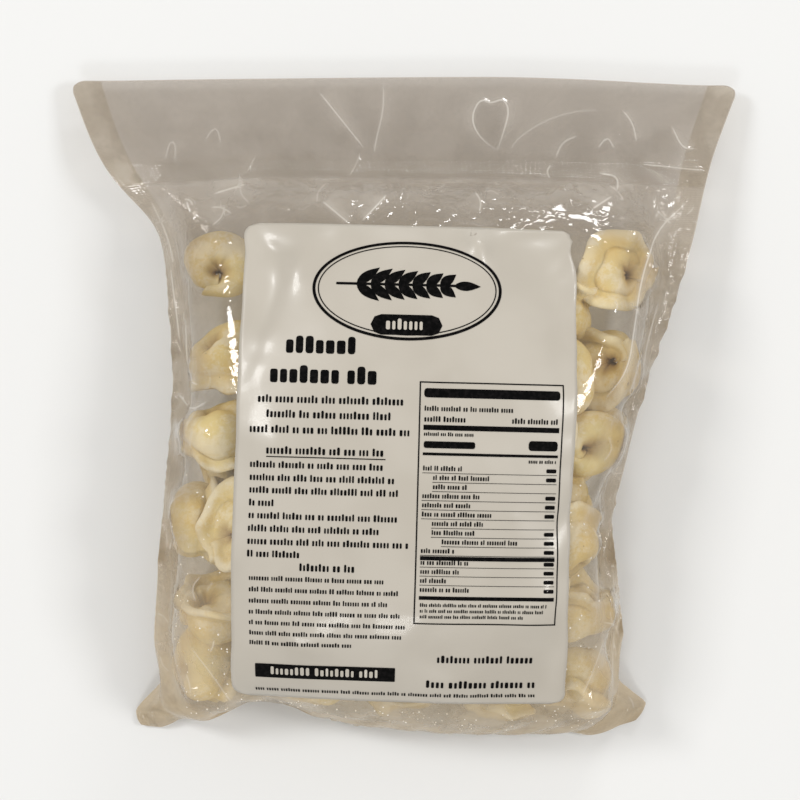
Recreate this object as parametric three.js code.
// A clear heat-sealed pouch of frozen stuffed pasta, lying on its back with the label up.
// Two closed bodies: the filled pouch out to its film, and the label that is stuck on its front.
// Millimetres. +X to the pouch's right, +Y towards its open top flap, +Z up, resting on Z = 0.
import * as THREE from 'three';

// Driving dimensions
const POUCH_WIDTH = 203.2;       // flat width of the film, side edge to side edge
const LYING_LENGTH = 203.2;      // from the bottom corners to the edge of the flap, as it lies
const FILL_HEIGHT = 57;          // highest point of the filled body above the table
const SIDE_SEAL = 5;             // what shows of each side seal beyond the filled body
const SEAL_THICKNESS = 1.6;      // two sheets of film with the air between them
const BODY_LEFT_LIMIT = 79;      // the contents never reach further left than this
const BODY_RIGHT_LIMIT = 76;     // nor further right: the film beyond them is empty
const BODY_START = 0.008;        // where the filled body begins and ends, as shares of the length
const BODY_CREST = 0.44;
const BODY_END = 0.845;
const LABEL_WIDTH = 101.6;
const LABEL_LENGTH = 152.4;
const LABEL_THICKNESS = 0.3;
const LABEL_CLEARANCE = 0.9;     // air between the label's back and the pouch
const LABEL_CORNER = 5;
const LABEL_CENTRE = { x: -0.4, y: -17 };
const LABEL_TURN = -1.5;        // degrees about +Z: it was stuck on a little crooked

// Grid cells: the pouch's are those of a seal, of the body across, of the body along, and of the flap
const POUCH_CELLS = { seal: 2, across: 32, along: 34, flap: 5 };
const LABEL_CELLS = { across: 14, along: 26 };

// Superellipse exponents: the higher, the flatter the middle and the steeper the end
const CROWN = { across: 2.6, towardsBottom: 2.4, towardsFlap: 1.95 };
const BELLY = { across: 3.4, along: 4, depth: 1.12 };

// The pouch's outline: [share of the length from the bottom, distance out from the middle]
const LEFT_EDGE = [
  [0, 81], [0.02, 84.5], [0.045, 81], [0.065, 76], [0.135, 78], [0.21, 76.8], [0.36, 74.4],
  [0.54, 71.6], [0.66, 73.1], [0.78, 76.5], [0.83, 87], [0.86, 92.7], [0.97, 100.8], [1, 99.5],
];
const RIGHT_EDGE = [
  [0, 65.5], [0.03, 72], [0.055, 74], [0.078, 66], [0.15, 67], [0.32, 63.4], [0.42, 68],
  [0.54, 74.7], [0.72, 86.2], [0.81, 90.8], [0.87, 93.3], [0.92, 96.7], [0.975, 101], [1, 99.5],
];
// The bottom and top edges: [distance across from the middle, distance along]
const BOTTOM_EDGE = [[-82, 2], [-57, 5], [-45, 9], [-14, 4], [24, 1], [55, 0.9], [66, 2.8], [72, 6]];
const TOP_EDGE = [[-95, 202], [-45, 202.7], [25, 203.2], [95, 200.5]];
// Height of the seal line above the table: [share of the length, height]
const SEAL_LINE = [[0, 4.5], [0.05, 10], [0.3, 20], [0.6, 20], [0.84, 15], [1, 7]];

const mix = THREE.MathUtils.lerp;

// A smooth function through [at, value] stations, with slopes limited so that it never overshoots.
function through(stations) {
  const step = stations.slice(1).map(([at, value], i) => (value - stations[i][1]) / (at - stations[i][0]));
  const slope = stations.map((_, i) => {
    const before = step[Math.max(i - 1, 0)];
    const after = step[Math.min(i, step.length - 1)];
    return before * after > 0 ? (2 * before * after) / (before + after) : 0;
  });
  return (at) => {
    const last = stations.length - 2;
    let i = stations.findIndex((_, k) => k > last || at < stations[k + 1][0]);
    i = Math.min(i, last);
    const [from, low] = stations[i];
    const [to, high] = stations[i + 1];
    const t = THREE.MathUtils.clamp((at - from) / (to - from), 0, 1);
    const rise = (to - from) * (t ** 3 - 2 * t ** 2 + t) * slope[i];
    const fall = (to - from) * (t ** 3 - t ** 2) * slope[i + 1];
    return mix(low, high, t * t * (3 - 2 * t)) + rise + fall;
  };
}

const leftEdge = through(LEFT_EDGE);
const rightEdge = through(RIGHT_EDGE);
const bottomEdge = through(BOTTOM_EDGE);
const topEdge = through(TOP_EDGE);
const sealLine = through(SEAL_LINE);

// One quarter of a superellipse: 1 in the middle, falling to 0 at the rim.
function dome(t, exponent) {
  return Math.max(0, 1 - Math.abs(t) ** exponent) ** (1 / exponent);
}

// Where the filled body's sides are at share b of the length.
const bodyLeft = (b) => -Math.min(leftEdge(b) - SIDE_SEAL, BODY_LEFT_LIMIT);
const bodyRight = (b) => Math.min(rightEdge(b) - SIDE_SEAL, BODY_RIGHT_LIMIT);

// How far a point lies from the middle of the filled body: 0 at its crest line, 1 at its rim.
function placeInBody(x, b) {
  const across = (2 * x - bodyLeft(b) - bodyRight(b)) / (bodyRight(b) - bodyLeft(b));
  const toRim = b < BODY_CREST ? BODY_CREST - BODY_START : BODY_END - BODY_CREST;
  return { across, along: (b - BODY_CREST) / toRim };
}

// The front film's height at x, at share b of the length.
function frontHeight(x, b) {
  const { across, along } = placeInBody(x, b);
  const edge = sealLine(b) + SEAL_THICKNESS / 2;
  const profile = along < 0 ? CROWN.towardsBottom : CROWN.towardsFlap;
  return edge + (FILL_HEIGHT - edge) * dome(across, CROWN.across) * dome(along, profile);
}

// The back film's height: flat on the table in the middle, rising to the seals.
function backHeight(x, b) {
  const { across, along } = placeInBody(x, b);
  const edge = sealLine(b) - SEAL_THICKNESS / 2;
  return Math.max(0, edge * (1 - BELLY.depth * dome(across, BELLY.across) * dome(along, BELLY.along)));
}

// Share of the length at a height y along the middle of the pouch at x.
const shareAt = (x, y) => (y + LYING_LENGTH / 2 - bottomEdge(x)) / (topEdge(x) - bottomEdge(x));

// Stops from 0 to 1, closer together towards both ends where the film turns down.
function stops(cells) {
  return Array.from({ length: cells + 1 }, (_, i) => {
    const t = (2 * i) / cells - 1;
    return 0.5 + 0.25 * (t + Math.sin((t * Math.PI) / 2));
  });
}

// Even stops over one stretch, without its last.
const stretch = (from, to, cells) => Array.from({ length: cells }, (_, i) => mix(from, to, i / cells));

// Closes a front and a back grid of points, numbered alike, into one body with a rim between them.
function closedSheet(frontRows, backRows) {
  const columns = frontRows[0].length;
  const across = columns - 1;
  const along = frontRows.length - 1;
  const back = columns * frontRows.length;
  const index = [];
  const quad = (a, b, c, d) => index.push(a, b, c, a, c, d);
  for (let j = 0; j < along; j++) {
    for (let i = 0; i < across; i++) {
      const k = j * columns + i;
      quad(k, k + 1, k + columns + 1, k + columns);
      quad(back + k, back + k + columns, back + k + columns + 1, back + k + 1);
    }
  }
  const rim = [];
  for (let i = 0; i < across; i++) rim.push(i);
  for (let j = 0; j < along; j++) rim.push(j * columns + across);
  for (let i = across; i > 0; i--) rim.push(along * columns + i);
  for (let j = along; j > 0; j--) rim.push(j * columns);
  rim.forEach((k, n) => {
    const next = rim[(n + 1) % rim.length];
    quad(k, back + k, back + next, next);
  });
  const geometry = new THREE.BufferGeometry();
  const positions = [...frontRows, ...backRows].flat(2);
  geometry.setAttribute('position', new THREE.Float32BufferAttribute(positions, 3));
  geometry.setIndex(index);
  geometry.computeVertexNormals();
  return geometry;
}

// The pouch: grid columns run along its side seals and body, rows from its bottom edge to its flap.
function pouchGeometry() {
  const body = stops(POUCH_CELLS.along).map((t) => mix(BODY_START, BODY_END, t)).slice(1);
  const shares = [0, BODY_START, ...body.slice(0, -1), ...stretch(BODY_END, 1, POUCH_CELLS.flap), 1];
  const columnsAt = (b) => [
    ...stretch(-leftEdge(b), bodyLeft(b), POUCH_CELLS.seal),
    ...stops(POUCH_CELLS.across).map((t) => mix(bodyLeft(b), bodyRight(b), t)),
    ...stretch(rightEdge(b), bodyRight(b), POUCH_CELLS.seal).reverse(),
  ];
  const rows = (heightAt) => shares.map((b) => columnsAt(b).map((x) => {
    const y = mix(bottomEdge(x), topEdge(x), b) - LYING_LENGTH / 2;
    return [x, y, heightAt(x, b)];
  }));
  return closedSheet(rows(frontHeight), rows(backHeight));
}

// Walks a given distance over a height profile and returns how far along the table that leads.
function walk(distance, heightAt) {
  const STEP = 0.25;
  const direction = Math.sign(distance);
  let at = 0;
  let walked = 0;
  while (walked < Math.abs(distance)) {
    walked += Math.hypot(STEP, heightAt(at + direction * STEP) - heightAt(at));
    at += direction * STEP;
  }
  return at;
}

// A point on the label, given by its distances from the label's centre, lifted off the film.
function labelPoint(u, v, lift) {
  const height = (x, y) => frontHeight(x, shareAt(x, y));
  const turn = THREE.MathUtils.degToRad(LABEL_TURN);
  const right = { x: Math.cos(turn), y: Math.sin(turn) };
  const up = { x: -right.y, y: right.x };
  const step = (from, way, d) => ({ x: from.x + d * way.x, y: from.y + d * way.y });
  const over = (from, way) => (d) => height(step(from, way, d).x, step(from, way, d).y);
  const middle = step(LABEL_CENTRE, up, walk(v, over(LABEL_CENTRE, up)));
  const { x, y } = step(middle, right, walk(u, over(middle, right)));
  const slopeX = height(x + 1, y) - height(x - 1, y);
  const slopeY = height(x, y + 1) - height(x, y - 1);
  const normal = new THREE.Vector3(-slopeX / 2, -slopeY / 2, 1).normalize();
  return new THREE.Vector3(x, y, height(x, y)).addScaledVector(normal, lift).toArray();
}

// The label: a thin sheet with rounded corners, its rows closer together near its ends.
function labelGeometry() {
  const rows = (lift) => stops(LABEL_CELLS.along).map((t) => {
    const v = LABEL_LENGTH * (t - 0.5);
    const intoCorner = Math.max(0, Math.abs(v) - LABEL_LENGTH / 2 + LABEL_CORNER);
    const halfWidth = LABEL_WIDTH / 2 - LABEL_CORNER + Math.sqrt(LABEL_CORNER ** 2 - intoCorner ** 2);
    return stops(LABEL_CELLS.across).map((s) => labelPoint(halfWidth * (2 * s - 1), v, lift));
  });
  return closedSheet(rows(LABEL_CLEARANCE + LABEL_THICKNESS), rows(LABEL_CLEARANCE));
}

const film = new THREE.MeshStandardMaterial({
  color: 0xa59b92, roughness: 0.2, metalness: 0, transparent: true, opacity: 0.5,
});
const paper = new THREE.MeshStandardMaterial({ color: 0xcac1b5, roughness: 0.35, metalness: 0 });

const bag = new THREE.Mesh(pouchGeometry(), film);
bag.name = 'bag';
const label = new THREE.Mesh(labelGeometry(), paper);
label.name = 'label';

// The pouch's own box is centred over the origin.
const pouch = new THREE.Group();
pouch.add(bag, label);
const middle = new THREE.Box3().setFromObject(bag).getCenter(new THREE.Vector3());
pouch.position.set(-middle.x, -middle.y, 0);

export default pouch;
